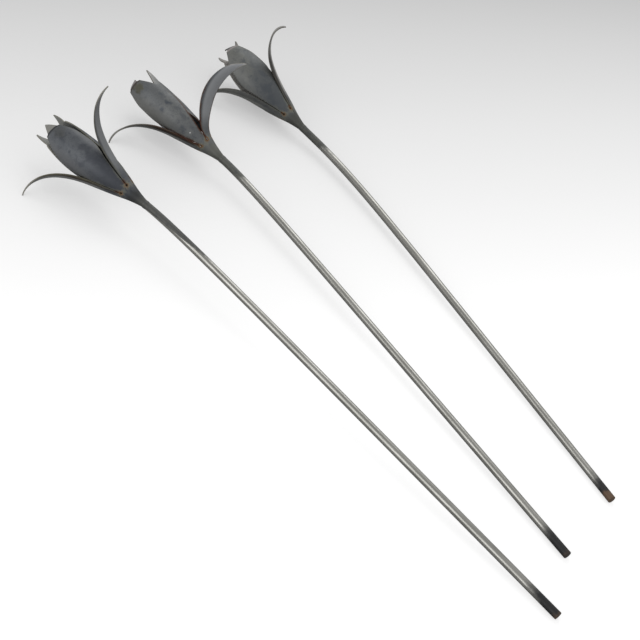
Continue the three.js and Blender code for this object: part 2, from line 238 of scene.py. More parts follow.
def petal_slope(kind, bend, distance):
    """Lean of a petal away from the flower's axis."""
    curl = bend["curl"] * (distance / kind["length"]) ** bend["sharpness"]
    fold = bend["tip_bend"] * smooth(distance, kind["shoulder"], kind["shoulder"] + FOLD_LENGTH)
    spread = bend["spread"] * smooth(distance, 0, SPREAD_LENGTH)
    return CONE_MOUTH_SLOPE + math.radians(curl + fold + spread)


def stem_place(lily, distance):
    """Place and direction of a stem's centre line at a distance from its free end."""
    def direction(share):
        bent = min(1, share)
        turn = lily["bow"] * bent ** BOW_LATENESS + lily["neck_turn"] * bent ** NECK_LATENESS
        return math.radians(turn), math.radians(lily["neck_lift"] * bent ** NECK_LATENESS)

    steps = max(1, math.ceil(distance / (2 * WALK_STEP)))
    step = distance / steps
    place = Vector()
    for i in range(steps):
        turn, lift = direction((i + 0.5) * step / STEM_LENGTH)
        place += step * Vector((math.cos(turn) * math.cos(lift), math.sin(turn) * math.cos(lift), math.sin(lift)))
    turn, lift = direction(distance / STEM_LENGTH)
    return Matrix.Translation(place) @ Matrix.Rotation(turn, 4, "Z") @ Matrix.Rotation(-lift, 4, "Y")


def lying(name):
    """Where a lily lies: its own frame in the frame of the whole, from the mount at its stem's end."""
    mount = STEM_ENDS[name.replace("lily", "stem_end")]
    ahead = -Vector(mount["axis"])
    heading = math.atan2(ahead.y, ahead.x)
    tilt = math.asin(ahead.z)
    turned = Matrix.Rotation(heading, 4, "Z") @ Matrix.Rotation(-tilt, 4, "Y")
    return Matrix.Translation(mount["pos_m"]) @ turned


def active(piece):
    bpy.ops.object.select_all(action="DESELECT")
    piece.select_set(True)
    bpy.context.view_layer.objects.active = piece


def apply_modifier(piece, kind, **settings):
    active(piece)
    modifier = piece.modifiers.new(kind.title(), kind)
    for key, value in settings.items():
        setattr(modifier, key, value)
    bpy.ops.object.modifier_apply(modifier=modifier.name)


def petal_rows(kind, bend):
    """Distances along a petal from the neck end of the cone: close round the keyhole and the fold."""
    cone = [-CONE_LENGTH * (1 - i / CONE_ROWS) for i in range(CONE_ROWS + 1)]
    hole = [2 * KEYHOLE_RADIUS * share for share in HOLE_ROWS]
    start = hole[-1]
    rest = [start + (kind["length"] - start) * i / PETAL_ROWS for i in range(1, PETAL_ROWS + 1)]
    if bend["tip_bend"]:
        shoulder = kind["shoulder"]
        low, high = shoulder - FOLD_MARGIN, shoulder + FOLD_LENGTH + FOLD_MARGIN
        fold = [shoulder, shoulder + SHOULDER_STEP] + [shoulder + FOLD_LENGTH * share for share in FOLD_ROWS]
        rest = [row for row in rest if not low < row < high] + fold
    return cone + hole + sorted(rest)


def petal_walk(kind, bend, rows):
    """Axial place and radius of a petal's middle line at each of its rows."""
    distance, axial, radius = 0, CONE_LENGTH, CONE_MOUTH_RADIUS - SHEET / 2
    walk = []
    for row in rows:
        if row <= 0:
            walk.append((CONE_LENGTH + row, cone_radius(CONE_LENGTH + row) - SHEET / 2))
            continue
        steps = max(1, math.ceil((row - distance) / WALK_STEP))
        step = (row - distance) / steps
        for _ in range(steps):
            slope = petal_slope(kind, bend, distance + step / 2)
            axial += math.cos(slope) * step
            radius += math.sin(slope) * step
            distance += step
        walk.append((axial, radius))
    return walk


def cone_point(azimuth, middle, across):
    """A point of the cone's sheet, and half the width of its petal's share of the cone there."""
    axial, radius = middle
    return Vector((axial, 0, 0)) + outward(azimuth + across * SECTOR) * radius, SECTOR * radius


def petal_point(kind, bend, azimuth, seed, distance, middle, across):
    """A point of a bent petal's sheet, and half the petal's width there."""
    axial, radius = middle
    share = distance / kind["length"]
    turned = azimuth + math.radians(bend["sway"] * share * share)
    slope = petal_slope(kind, bend, distance)
    away = outward(turned)
    along = Vector((math.cos(slope), 0, 0)) + away * math.sin(slope)
    side = Vector((0, math.cos(turned), -math.sin(turned)))
    square = Vector((-math.sin(slope), 0, 0)) + away * math.cos(slope)
    settled = smooth(distance, 0, CONE_LENGTH)
    up = away.lerp(square, settled).normalized()
    twist = Matrix.Rotation(math.radians(bend["twist"] * share ** bend["late"]), 3, along)
    up, side = twist @ up, twist @ side
    cup = radius + (bend["cup"] * MM - radius) * smooth(distance, CUP_FROM, CUP_TO)
    grown = 1 + (bend["broad"] - 1) * settled
    half = half_width(kind["lines"], distance) * grown + SLIT_WIDTH / 2 - half_gap(distance)
    angle = across * half / cup
    normal = up * math.cos(angle) + side * math.sin(angle)
    point = Vector((axial, 0, 0)) + away * radius + (normal - up) * cup
    beaten = noise.noise(Vector((distance, across * half, seed)) / DENT_SPREAD + Vector((0, 0, seed)))
    return point + normal * beaten * settled * (1 - smooth(share, DENTS_FADE_FROM, 1)) * DENT_DEPTH, half


def bend_petal(sheet, kind, bend, azimuth, rows, seed):
    """Rolls a flat sheet's part of the cone and bends its petal. Keeps where each point lies on the flat sheet."""
    walk = petal_walk(kind, bend, rows)
    attributes = sheet.data.attributes
    attributes.new("lay", "FLOAT_VECTOR", "POINT")
    attributes.new("petal", "FLOAT", "POINT")
    lay, petal = attributes["lay"], attributes["petal"]
    for vertex in sheet.data.vertices:
        column = round((vertex.co.x + 0.5) * kind["columns"])
        row = round((vertex.co.y + 0.5) * (len(rows) - 1))
        across = 2 * column / kind["columns"] - 1
        distance = rows[row]
        if distance <= 0:
            point, half = cone_point(azimuth, walk[row], across)
        else:
            point, half = petal_point(kind, bend, azimuth, seed, distance, walk[row], across)
        from_middle_of_slit = half * (1 - abs(across)) + half_gap(distance)
        lay.data[vertex.index].vector = (distance, from_middle_of_slit, across * half)
        petal.data[vertex.index].value = seed
        vertex.co = point


def flower_head(name, lily):
    """The middle surface of a whole head: six bent tongues, joined at the cone."""
    place = lying(name) @ stem_place(lily, STEM_LENGTH + WELD_LENGTH / 2)
    tongues = []
    for seed, (petal, kind, azimuth) in enumerate(PETALS):
        bend = dict(zip(BEND, lily["bent"][petal]))
        kind = cut_shorter(kind, bend["cut"])
        kind["lines"] = width_lines(kind)
        rows = petal_rows(kind, bend)
        bpy.ops.object.select_all(action="DESELECT")
        bpy.ops.mesh.primitive_grid_add(x_subdivisions=kind["columns"], y_subdivisions=len(rows) - 1, size=1)
        tongue = bpy.context.object
        bend_petal(tongue, kind, bend, math.radians(azimuth + lily["roll"]), rows, seed)
        tongue.data.transform(place)
        tongues.append(tongue)
    bpy.ops.object.select_all(action="DESELECT")
    for tongue in tongues:
        tongue.select_set(True)
    head = tongues[0]
    bpy.context.view_layer.objects.active = head
    bpy.ops.object.join()
    head.name = f"{name}_head_sheet"
    bpy.ops.object.mode_set(mode="EDIT")
    bpy.ops.mesh.select_all(action="SELECT")
    bpy.ops.mesh.remove_doubles(threshold=JOIN_DISTANCE)
    bpy.ops.object.mode_set(mode="OBJECT")
    return head


def select_edges(piece, wanted):
    """Selects the edges whose two heights pass a test, for the operator that follows."""
    bpy.ops.object.mode_set(mode="EDIT")
    bpy.ops.mesh.select_mode(type="EDGE")
    bpy.ops.mesh.select_all(action="DESELECT")
    bpy.ops.object.mode_set(mode="OBJECT")
    for edge in piece.data.edges:
        edge.select = wanted(*(piece.data.vertices[i].co.z for i in edge.vertices))
    bpy.ops.object.mode_set(mode="EDIT")


def cut_cylinder(name, sides, length, cuts, ends):
    """An upright cylinder as thick as the bar, cut across at even heights."""
    bpy.ops.object.select_all(action="DESELECT")
    bpy.ops.mesh.primitive_cylinder_add(vertices=sides, radius=BAR_RADIUS, depth=length, end_fill_type=ends)
    piece = bpy.context.object
    piece.name = name
    select_edges(piece, lambda low, high: abs(low - high) > length / 2)
    bpy.ops.mesh.subdivide(number_cuts=cuts)
    bpy.ops.object.mode_set(mode="OBJECT")
    return piece


def stem_bar(name, lily):
    """The round bar: cut along its length, its free end chamfered, then bent along the stem's line."""
    bar = cut_cylinder(f"{name}_bar", BAR_SIDES, STEM_LENGTH, BAR_CUTS, "NGON")
    select_edges(bar, lambda low, high: max(low, high) < -STEM_LENGTH / 2 + END_CHAMFER)
    bpy.ops.mesh.bevel(offset=END_CHAMFER, segments=CHAMFER_SEGMENTS)
    bpy.ops.object.mode_set(mode="OBJECT")
    lay = bar.data.attributes.new("lay", "FLOAT_VECTOR", "POINT")
    places = {}
    for vertex in bar.data.vertices:
        distance = vertex.co.z + STEM_LENGTH / 2
        key = round(distance / MM, 3)
        if key not in places:
            places[key] = lying(name) @ stem_place(lily, distance)
        lay.data[vertex.index].vector = (distance, vertex.co.x, vertex.co.y)
        vertex.co = places[key] @ Vector((0, vertex.co.y, vertex.co.x))
    bar.data.flip_normals()
    return bar


def neck_weld(name, lily):
    """The ring of weld: a low, uneven crown that thins out over the bar and the cone."""
    ring = cut_cylinder(f"{name}_weld_ring", WELD_SIDES, WELD_LENGTH + 2 * WELD_LAP, WELD_CUTS, "NOTHING")
    for vertex in ring.data.vertices:
        along = vertex.co.z / (WELD_LENGTH / 2 + WELD_LAP)
        around = math.atan2(vertex.co.y, vertex.co.x)
        circle = Vector((math.cos(around), math.sin(around), 0)) * BEAD_AROUND
        bead = noise.noise(circle + Vector((0, 0, along * BEAD_ALONG + len(name))))
        crown = WELD_CROWN * (1 - along * along) + WELD_BEAD * bead * (1 - along ** 4) - WELD_TOE * abs(along) ** 3
        flare = max(0, cone_radius(max(0, vertex.co.z - WELD_LENGTH / 2)) - BAR_RADIUS)
        point = outward(around) * (BAR_RADIUS + crown + flare)
        vertex.co = lying(name) @ stem_place(lily, STEM_LENGTH + vertex.co.z) @ point
    ring.data.flip_normals()
    return ring


def build_lily(name, lily):
    """The three pieces of a lily. The head gets its thickness here, and faces for its three finishes."""
    head = flower_head(name, lily)
    apply_modifier(head, "SOLIDIFY", thickness=SHEET, offset=0, material_offset=1, material_offset_rim=2)
    rounding = {"width": SHEET_EDGE_ROUND, "segments": EDGE_SEGMENTS}
    apply_modifier(head, "BEVEL", limit_method="ANGLE", angle_limit=EDGE_ANGLE, **rounding)
    bar = stem_bar(name, lily)
    ring = neck_weld(name, lily)
    for piece in (head, bar, ring):
        active(piece)
        bpy.ops.object.shade_smooth_by_angle(angle=SMOOTH_ANGLE)
        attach(piece, "root")
    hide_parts(f"{name}_flower_head")
    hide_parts(f"{name}_stem")
    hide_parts(f"{name}_neck_weld")
    return head, bar, ring


# Noise patterns: scale per metre, detail, roughness, distortion
PATTERNS = {
    "clouds": (24, 4, 0.55, 0.4),
    "patches": (95, 4, 0.6, 0.6),
    "grain": (520, 3, 0.6),
    "pitting": (1700,),
    "spot_outline": (130, 4, 0.6),
    "streaks": (1100, 3, 0.6),
    "slow_streaks": (160, 3, 0.55),
    "bar_grain": (1500,),
    "file_marks": (1300,),
    "neck_outline": (90, 3),
    "rust_clouds": (140, 4, 0.65),
    "fire_outline": (70, 4, 0.6),
}
# Heights of a pattern between which a tone sets in
LEVELS = {
    "clouds": (0.36, 0.64),
    "patches": (0.52, 0.7),
    "flecks": (0.48, 0.7),
    "ragged": (0.25, 0.7),
    "spot": (1.1, 0.35),
    "tarnish": (0.38, 0.66),
    "rust": (0.3, 0.6),
}
# Stretches over which a tone sets in, in millimetres: none of it at the first place, full at the second
FADES = {
    "beyond_hole": (0, 2), "dark_slit": (30, 60), "hole_edge": (2.5, 0.6), "cone_rust": (9, 4),
    "slit_shade_clears": (45, 90), "tip_highlight": (125, 155), "speck": (1.2, 0.7), "neck": (6, -10), "cone_end": (-18, -33),
    "bar_scale": (-10, 24), "bar_rust": (6, -4), "bar_black": (0, -34),
}


class Nodes:
    """Lays nodes into one tree, each fed with values or with what other nodes put out."""

    def __init__(self, tree):
        self.tree = tree

    def put(self, kind, inputs=None, **settings):
        node = self.tree.nodes.new(kind)
        for key, value in settings.items():
            setattr(node, key, value)
        for key, value in (inputs or {}).items():
            self.feed(node.inputs[key], value)
        return node

    def feed(self, socket, value):
        if isinstance(value, bpy.types.NodeSocket):
            self.tree.links.new(value, socket)
        elif socket.type == "RGBA":
            socket.default_value = (*value, 1)
        else:
            socket.default_value = value

    def math(self, operation, first, second=0.0):
        return self.put("ShaderNodeMath", {0: first, 1: second}, operation=operation).outputs[0]

    def product(self, first, *others):
        for other in others:
            first = self.math("MULTIPLY", first, other)
        return first

    def plus(self, first, second):
        return self.math("ADD", first, second)

    def minus(self, first, second):
        return self.math("SUBTRACT", first, second)

    def mix(self, first, share, second):
        """A share of one value and the rest of another."""
        return self.plus(self.product(first, share), self.product(second, 1 - share))

    def hypotenuse(self, first, second):
        return self.math("SQRT", self.plus(self.product(first, first), self.product(second, second)))

    def span(self, value, low, high):
        """0 at low and 1 at high, smooth between them."""
        inputs = {"Value": value, "From Min": low, "From Max": high}
        return self.put("ShaderNodeMapRange", inputs, interpolation_type="SMOOTHSTEP").outputs[0]

    def level(self, pattern, name):
        return self.span(pattern, *LEVELS[name])

    def fade(self, distance, name, start=0.0):
        """One of the fades, counted from a start in metres."""
        none, full = FADES[name]
        return self.span(distance, start + none * MM, start + full * MM)

    def between(self, share, first, second):
        """A number between two others."""
        return self.put("ShaderNodeMix", {0: share, 2: first, 3: second}, data_type="FLOAT").outputs[0]

    def blend(self, share, first, second):
        """A colour between two others."""
        return self.put("ShaderNodeMix", {0: share, 6: first, 7: second}, data_type="RGBA").outputs[2]

    def noise(self, place, scale, detail=2.0, roughness=0.5, distortion=0.0):
        inputs = {"Vector": place, "Scale": scale, "Detail": detail, "Roughness": roughness, "Distortion": distortion}
        return self.put("ShaderNodeTexNoise", inputs).outputs["Fac"]

    def pattern(self, place, name):
        return self.noise(place, *PATTERNS[name])

    def ripple(self, place, name):
        """A pattern about 0."""
        return self.minus(self.pattern(place, name), 0.5)

    def split(self, vector):
        return self.put("ShaderNodeSeparateXYZ", {0: vector}).outputs

    def place(self):
        return self.put("ShaderNodeTexCoord").outputs["Object"]

    def shifted(self, place, shift, stretch=(1, 1, 1)):
        """A pattern's place, moved and stretched."""
        return self.put("ShaderNodeMapping", {"Vector": place, "Location": shift, "Scale": stretch}).outputs[0]

    def kept(self, name, output):
        """What a mesh keeps at its points."""
        return self.put("ShaderNodeAttribute", attribute_name=name, attribute_type="GEOMETRY").outputs[output]

    def effect(self, group, inputs):
        return self.put("ShaderNodeGroup", inputs, node_tree=group).outputs


def new_effect(name, inputs, outputs):
    """An empty node group with named inputs and outputs."""
    group = bpy.data.node_groups.new(name, "ShaderNodeTree")
    for socket, kind in inputs.items():
        group.interface.new_socket(name=socket, in_out="INPUT", socket_type=f"NodeSocket{kind}")
    for socket, kind in outputs.items():
        group.interface.new_socket(name=socket, in_out="OUTPUT", socket_type=f"NodeSocket{kind}")
    nodes = Nodes(group)
    entry = nodes.put("NodeGroupInput").outputs
    leave = nodes.put("NodeGroupOutput")
    return group, nodes, entry, leave


# Shares, roughness and stretches in the effects
FLECKS = 0.5
GRAIN_IN_SCALE = 0.7
FAST_IN_TARNISH = 0.5
STREAKS_IN_BAR = 0.6
SCALE_IN_WELD = 0.6
SCALE_ROUGHNESS = (0.42, 0.7)
RAGGED_DETAIL = (4, 0.65, 0.3)
LEAST_REACH = 0.05 * MM
SPOT_RAGGED = 2.2
STREAK_STRETCH = (0.008, 1, 1)
SLOW_STRETCH = (0.12, 1, 1)
SLOW_SHIFT = (3, 0, 0)
BAR_ROUGHNESS = (0.2, 0.4)


def forge_scale_effect():
    """Blue-grey scale from the fire: pale clouds, darker patches and a fine grain."""
    inputs = {"Place": "Vector", "Pale": "Color", "Middle": "Color", "Dark": "Color", "Patches": "Float"}
    outputs = {"Color": "Color", "Roughness": "Float", "Height": "Float"}
    group, nodes, entry, leave = new_effect("forge_scale", inputs, outputs)
    names = ("clouds", "patches", "grain", "pitting")
    clouds, patches, grain, pitting = (nodes.pattern(entry["Place"], name) for name in names)
    color = nodes.blend(nodes.level(clouds, "clouds"), entry["Pale"], entry["Middle"])
    color = nodes.blend(nodes.product(nodes.level(patches, "patches"), entry["Patches"]), color, entry["Dark"])
    color = nodes.blend(nodes.product(nodes.level(grain, "flecks"), FLECKS), color, entry["Dark"])
    nodes.feed(leave.inputs["Color"], color)
    nodes.feed(leave.inputs["Roughness"], nodes.between(patches, *SCALE_ROUGHNESS))
    nodes.feed(leave.inputs["Height"], nodes.mix(grain, GRAIN_IN_SCALE, pitting))
    return group


def creep_effect():
    """A stain that spreads from a line, with a ragged end: full on the line, gone at its reach."""
    inputs = {"Place": "Vector", "Distance": "Float", "Reach": "Float", "Amount": "Float", "Grain": "Float"}
    group, nodes, entry, leave = new_effect("creep", inputs, {"Mask": "Float"})
    ragged = nodes.noise(entry["Place"], entry["Grain"], *RAGGED_DETAIL)
    reach = nodes.product(entry["Reach"], nodes.level(ragged, "ragged"))
    mask = nodes.span(entry["Distance"], nodes.plus(reach, LEAST_REACH), 0.0)
    nodes.feed(leave.inputs["Mask"], nodes.product(mask, entry["Amount"]))
    return group


def blotch_effect():
    """A blotch at its own place on the flat sheet, with a cloudy outline."""
    inputs = {"Place": "Vector", "Lay": "Vector", "Along": "Float", "Across": "Float", "Length": "Float"}
    inputs |= {"Width": "Float", "Lean": "Float", "Amount": "Float"}
    group, nodes, entry, leave = new_effect("blotch", inputs, {"Mask": "Float"})
    lay = nodes.split(entry["Lay"])
    ahead = nodes.minus(lay["X"], entry["Along"])
    aside = nodes.minus(nodes.minus(lay["Z"], entry["Across"]), nodes.product(ahead, entry["Lean"]))
    ahead = nodes.math("DIVIDE", ahead, entry["Length"])
    aside = nodes.math("DIVIDE", aside, entry["Width"])
    cloudy = nodes.product(nodes.ripple(entry["Place"], "spot_outline"), SPOT_RAGGED)
    mask = nodes.level(nodes.plus(nodes.hypotenuse(ahead, aside), cloudy), "spot")
    nodes.feed(leave.inputs["Mask"], nodes.product(mask, entry["Amount"]))
    return group


def drawn_bar_effect():
    """Bare drawn steel: long faint streaks along the bar, and a fine grain."""
    inputs = {"Lay": "Vector", "Place": "Vector", "Bare": "Color", "Dull": "Color"}
    outputs = {"Color": "Color", "Roughness": "Float", "Height": "Float"}
    group, nodes, entry, leave = new_effect("drawn_bar", inputs, outputs)
    streaks = nodes.pattern(nodes.shifted(entry["Lay"], (0, 0, 0), STREAK_STRETCH), "streaks")
    slow = nodes.pattern(nodes.shifted(entry["Lay"], SLOW_SHIFT, SLOW_STRETCH), "slow_streaks")
    grain = nodes.pattern(entry["Place"], "bar_grain")
    tarnish = nodes.level(nodes.mix(streaks, FAST_IN_TARNISH, slow), "tarnish")
    nodes.feed(leave.inputs["Color"], nodes.blend(tarnish, entry["Bare"], entry["Dull"]))
    nodes.feed(leave.inputs["Roughness"], nodes.between(slow, *BAR_ROUGHNESS))
    nodes.feed(leave.inputs["Height"], nodes.mix(streaks, STREAKS_IN_BAR, grain))
    return group


FORGE_SCALE = forge_scale_effect()
CREEP = creep_effect()
BLOTCH = blotch_effect()
DRAWN_BAR = drawn_bar_effect()

# Colours of the steel's skins, as light reflected, and of the painted light and shade laid on them
BLUE_BLACK = (0.045, 0.052, 0.062)
RUST_ORANGE = (0.165, 0.088, 0.036)
RUST_BROWN = (0.075, 0.042, 0.024)
RUST_RED = (0.085, 0.028, 0.015)
CREAM_HALO = (0.235, 0.232, 0.175)
OLIVE_STAIN = (0.088, 0.085, 0.062)
SOOT = (0.022, 0.022, 0.023)
BARE_STEEL = (0.39, 0.385, 0.36)
DULL_STEEL = (0.27, 0.267, 0.245)
# painted shade on the cut edge in the slits, near the root
PAINTED_SLIT_SHADE = (0.03, 0.025, 0.022)
# painted highlight along the edges of the petal tips, over their bare steel
PAINTED_EDGE_HIGHLIGHT = (0.42, 0.41, 0.39)
INSIDE_BROWN = (0.09, 0.073, 0.052)
CONE_RUST = (0.8, 0.42, 0.16)
# a pale speck on the front petal
PALE_SPECK = (0.75, 0.75, 0.74)
# painted light on the lower band of the near outer petal
PAINTED_LOWER_BAND_LIGHT = (0.27, 0.272, 0.262)
BUD_SIDE_DARK = (0.032, 0.02, 0.014)
INSIDE_DARK = (0.045, 0.037, 0.028)
# painted shade on the bar's underside
BAR_PAINTED_UNDERSIDE_SHADE = (0.1, 0.1, 0.092)
END_RUST = (0.17, 0.105, 0.065)

# Tones laid on the faces of a head, one after the other: the petals, the tone, how much of it where it is full, and
# the stretches over which it sets in. A name stands for a mark of the head, and a name with a step for a place beside
# that mark.
FOLD_AT = SHOULDER / MM
FRONT_TONES = [
    # painted light on the front petal's lower side and on its far edge
    ("inner_near", "side_tone", "side", ("along", 30, 80), ("across", "side_from", 24)),
    ("inner_near", "side_tone", "edge_light", ("across", -17, -26)),
    # painted shade towards the front petal's root
    ("inner_near", "dark", "root", ("along", 112, 30), ("across", 24, 10)),
]
PETAL_TONES = [
    # upper outer petal: a band of painted light, then painted shade along one side
    ("outer_top", "lit", 0.9, ("along", 15, 50), ("across", 9, 4)),
    ("outer_top", "top_shade", 0.85, ("along", "shade_to", ("shade_to", -30)),
     ("across", "shade_from", ("shade_from", 4))),
    ("outer_near", INSIDE_BROWN, "brown", ("along", 20, 45), ("across", ("band", 2), ("band", -2))),
    # painted light on the lower band of the near outer petal, which faces the floor
    ("outer_near", PAINTED_LOWER_BAND_LIGHT, 0.9, ("along", 20, 50), ("across", ("band", -2), ("band", 2))),
    # darker along the side of the near outer petal next to the bud
    ("outer_near", BUD_SIDE_DARK, "burnt", ("along", 5, 14), ("along", 105, 75), ("across", -1, -5)),
    # painted light on the lower inner petal
    ("inner_bottom", "lit", 0.8, ("along", 40, 80)),
    ("other_inner", "tip", 0.9, ("along", 128, 156)),
    # painted light and shade on the front petal's folded tip
    ("inner_near", "front_tip", 1, ("along", FOLD_AT + 0.9, FOLD_AT + 2.4)),
    # painted shade in the crease at the fold, painted highlight on the far lily
    ("inner_near", "crease", 0.85, ("from_crease", 2.2, 0.8)),
    # painted highlight along the edges of the tips, on all petals but the front one
    ("all_but_front", PAINTED_EDGE_HIGHLIGHT, 0.8, ("along", 130, 150), ("from_slit", 1.8, 0.4)),
]
INSIDE_TONES = [
    ("inner", "tip", 1, ("along", 125, 152)),
    ("outer", "pale", 0.6, ("along", 90, 170)),
    # real rust on the hidden insides, raised as painted light on the middle lily
    ("hidden", "behind", 0.9, ("along", 6, 14), ("along", 125, 95)),
]
TIP_HIGHLIGHT_AMOUNT = 0.85
# how strong the painted shade on the bar's underside is
PAINTED_UNDERSIDE_SHADE = 0.4
PATCHES = 0.6
EDGE_PATCHES = 0.8

# Metallic and roughness of the skins, and the depth of their relief
METALLIC = {
    "outside": 0.55, "inside": 0.35, "edge": 0.5, "rust": 0.05, "bare_bar": 0.95, "scaled_bar": 0.35, "weld": 0.45,
}
RUST_ROUGHNESS = 0.85
EDGE_ROUGHNESS = 0.5
SHEET_RELIEF = 0.12 * MM
EDGE_RELIEF = 0.1 * MM
BAR_RELIEF = 0.05 * MM

# Stains that creep from keyholes and slits: reach in millimetres, amount, and the scale of their ragged end
CREEPS = {
    "hole_halo": (12, 0.85, 150),
    "slit_halo": (6, 0.55, 120),
    "brown_rust": (6, 0.9, 90),
    "red_rust": (3.4, 1, 160),
    "hole_rust": (5.5, 1, 220),
    "dark_slit": (2, 0.6, 160),
}
HALO_FULL_FROM = 5 * MM
RUST_FULL_TO = 0.6
EDGE_RUST_FULL_TO = 0.5

# Speck, stain and crease of the front petal, and how ragged the skins end at the neck and on the bar
SPECK_AT = (29 * MM, 3 * MM)
STAIN_SIZE = (14, 11)
CREASE_BEFORE_FOLD = 0.2 * MM
NECK_RAGGED = 12 * MM
BAR_NECK_RAGGED = 60 * MM
BAR_END_RAGGED = 30 * MM
FILE_STRETCH = (0.15, 1, 1)

# How the fire and the weather marked the heads, and the painted light and shade laid on them: near, middle and
# far lily. Lengths are in millimetres, measured from the ends of the slits and across from the petal's middle line.
HEAD_MARKS = {
    # scale: pale clouds, the tone between them, and dark patches
    "pale": ((0.118, 0.126, 0.136), (0.178, 0.184, 0.182), (0.175, 0.178, 0.165)),
    "middle": ((0.088, 0.095, 0.106), (0.13, 0.136, 0.14), (0.13, 0.137, 0.138)),
    "dark": ((0.055, 0.06, 0.072), (0.075, 0.085, 0.098), (0.08, 0.089, 0.1)),
    "patches": (0.7, 0.6, 0.6),
    # front petal: how much painted light lies on its lower side, from where across, and in which tone
    "side": (0.9, 1, 0.6),
    "side_from": (7, -4, 2),
    "side_tone": ((0.158, 0.163, 0.17), (0.22, 0.222, 0.212), (0.17, 0.172, 0.165)),
    # front petal: how much painted light lies on its far edge, how deep the painted shade at its root, and whether it
    # has a pale speck
    "edge_light": (0.8, 0, 0.3),
    "root": (0.85, 0, 0.6),
    "speck": (0, 1, 0),
    # the cone at the neck
    "neck": ((0.048, 0.05, 0.051), (0.15, 0.152, 0.138), (0.085, 0.086, 0.078)),
    # insides of the two inner petals behind the front one; the middle lily's rust there is raised as painted light,
    # to show through the shade inside the bud
    "behind": ((0.1, 0.092, 0.066), (0.75, 0.3, 0.16), (0.07, 0.06, 0.048)),
    # front petal: painted shade in the crease at its fold on the near and middle lilies, and a painted highlight
    # along it on the far one
    "crease": ((0.03, 0.031, 0.033), (0.065, 0.052, 0.045), (0.32, 0.285, 0.28)),
    # front petal: amount and place of the olive stain by the fold
    "olive": (0.25, 0.95, 0.15),
    "stain": ((142, -6), (147, -3), (142, 0)),
    # rust: its amount, and how far from the root it follows the slits
    "rust": (0.8, 1, 0.8),
    "rust_to": (15, 115, 10),
    # pale halo of the heat: its amount, and how far it follows the slits
    "halo": (0.75, 0.9, 0.7),
    "cream_to": (150, 60, 60),
    # upper outer petal: its painted light tone, also laid on the lower inner petal, and its side in painted shade,
    # from where across and up to where along
    "lit": ((0.235, 0.243, 0.25), (0.33, 0.34, 0.355), (0.42, 0.41, 0.39)),
    "top_shade": ((0.055, 0.06, 0.072), (0.075, 0.085, 0.098), (0.032, 0.029, 0.026)),
    "shade_from": (4, 6, 1),
    "shade_to": (200, 200, 118),
    # near outer petal: amounts of the brown band and of the dark band beside the bud, and where the brown band meets
    # the band of painted light
    "brown": (0.9, 0.3, 0),
    "burnt": (0.6, 0.95, 0.2),
    "band": (-4.5, -2, -1),
    # edges and tips: cut edge, tips of the inner petals, folded tip of the front one, whose tone is painted light on
    # the near and middle lilies and painted shade on the far one
    "edge": ((0.15, 0.142, 0.1), (0.13, 0.115, 0.09), (0.11, 0.1, 0.08)),
    "tip": ((0.25, 0.253, 0.237), (0.36, 0.36, 0.35), (0.29, 0.275, 0.26)),
    "front_tip": ((0.28, 0.275, 0.255), (0.29, 0.265, 0.26), (0.09, 0.092, 0.095)),
    # front petal: dark spots, each with its place along and across, length, width, lean and amount
    "spots": (
        [(105, 8, 3.2, 3.2, 0, 0.8), (91, -13, 10, 8, 0.3, 0.7), (62, -10, 24, 10, 0.1, 0.9),
         (77, 10, 6, 7, 0, 0.6), (40, -4, 16, 7, 0, 0.6), (140, -4, 12, 16, 0, 0.3)],
        [(89, -13, 8, 5, 0.3, 1), (89, 3, 6, 5, 0, 0.8), (72, -15, 9, 4, 0.4, 0.45), (55, -11, 9, 5, 0, 0.5),
         (108, -17, 7, 4, 0, 0.5), (41, 5, 6, 4, 0, 0.4), (32, -5, 6, 4, 0, 0.4)],
        [(55, 2, 14, 10, 0, 0.8), (36, 5, 14, 7, 0, 0.8), (78, -12, 12, 6, 0.2, 0.7), (100, -6, 9, 4, 0.6, 0.4)],
    ),
}
# The bars, in millimetres from the free end: scale down to "bare_to", an end black up to "black_to" and rusty up to
# "rust_to". Scale and black reach farther on the upper side, by their slants.
BAR_MARKS = {
    "scale": ((0.088, 0.089, 0.082), (0.115, 0.117, 0.104), (0.088, 0.09, 0.08)),
    "bare_to": (850, 838, 830),
    "slant": (105, 10, 10),
    "black_to": (58, 60, 56),
    "black_slant": (14, 8, 6),
    "rust_to": (3, 2, 12),
    "rust": (0.5, 0.2, 0.8),
}
HEADS, BARS = (
    {name: {mark: column[i] for mark, column in marks.items()} for i, name in enumerate(LILIES)}
    for marks in (HEAD_MARKS, BAR_MARKS)
)
# Shifts of the patterns, so that no two lilies have the same clouds
SHIFTS = {"near_lily": (0, 0, 0), "middle_lily": (0.37, 0.11, 0.05), "far_lily": (0.81, 0.43, 0.17)}


def new_finish(name):
    material = bpy.data.materials.new(name)
    material.use_nodes = True
    return material, Nodes(material.node_tree), material.node_tree.nodes["Principled BSDF"]


def steel_finish(name, surface):
    """A new finish of a lily, with the place of its patterns and what its mesh keeps of the flat sheet."""
    material, nodes, shader = new_finish(f"{name}_{surface}")
    return material, nodes, shader, nodes.shifted(nodes.place(), SHIFTS[name]), nodes.kept("lay", "Vector")


def dress(nodes, shader, color, metallic, roughness, height, depth):
    """Feeds the shader. The height between 0 and 1 stands for a depth in metres."""
    bump = nodes.put("ShaderNodeBump", {"Height": height, "Distance": depth, "Strength": 1.0})
    inputs = {"Base Color": color, "Metallic": metallic, "Roughness": roughness, "Normal": bump.outputs[0]}
    for name, value in inputs.items():
        nodes.feed(shader.inputs[name], value)


def forge_scale(nodes, place, pale, middle, dark, patches):
    inputs = {"Place": place, "Pale": pale, "Middle": middle, "Dark": dark, "Patches": patches}
    return nodes.effect(FORGE_SCALE, inputs)


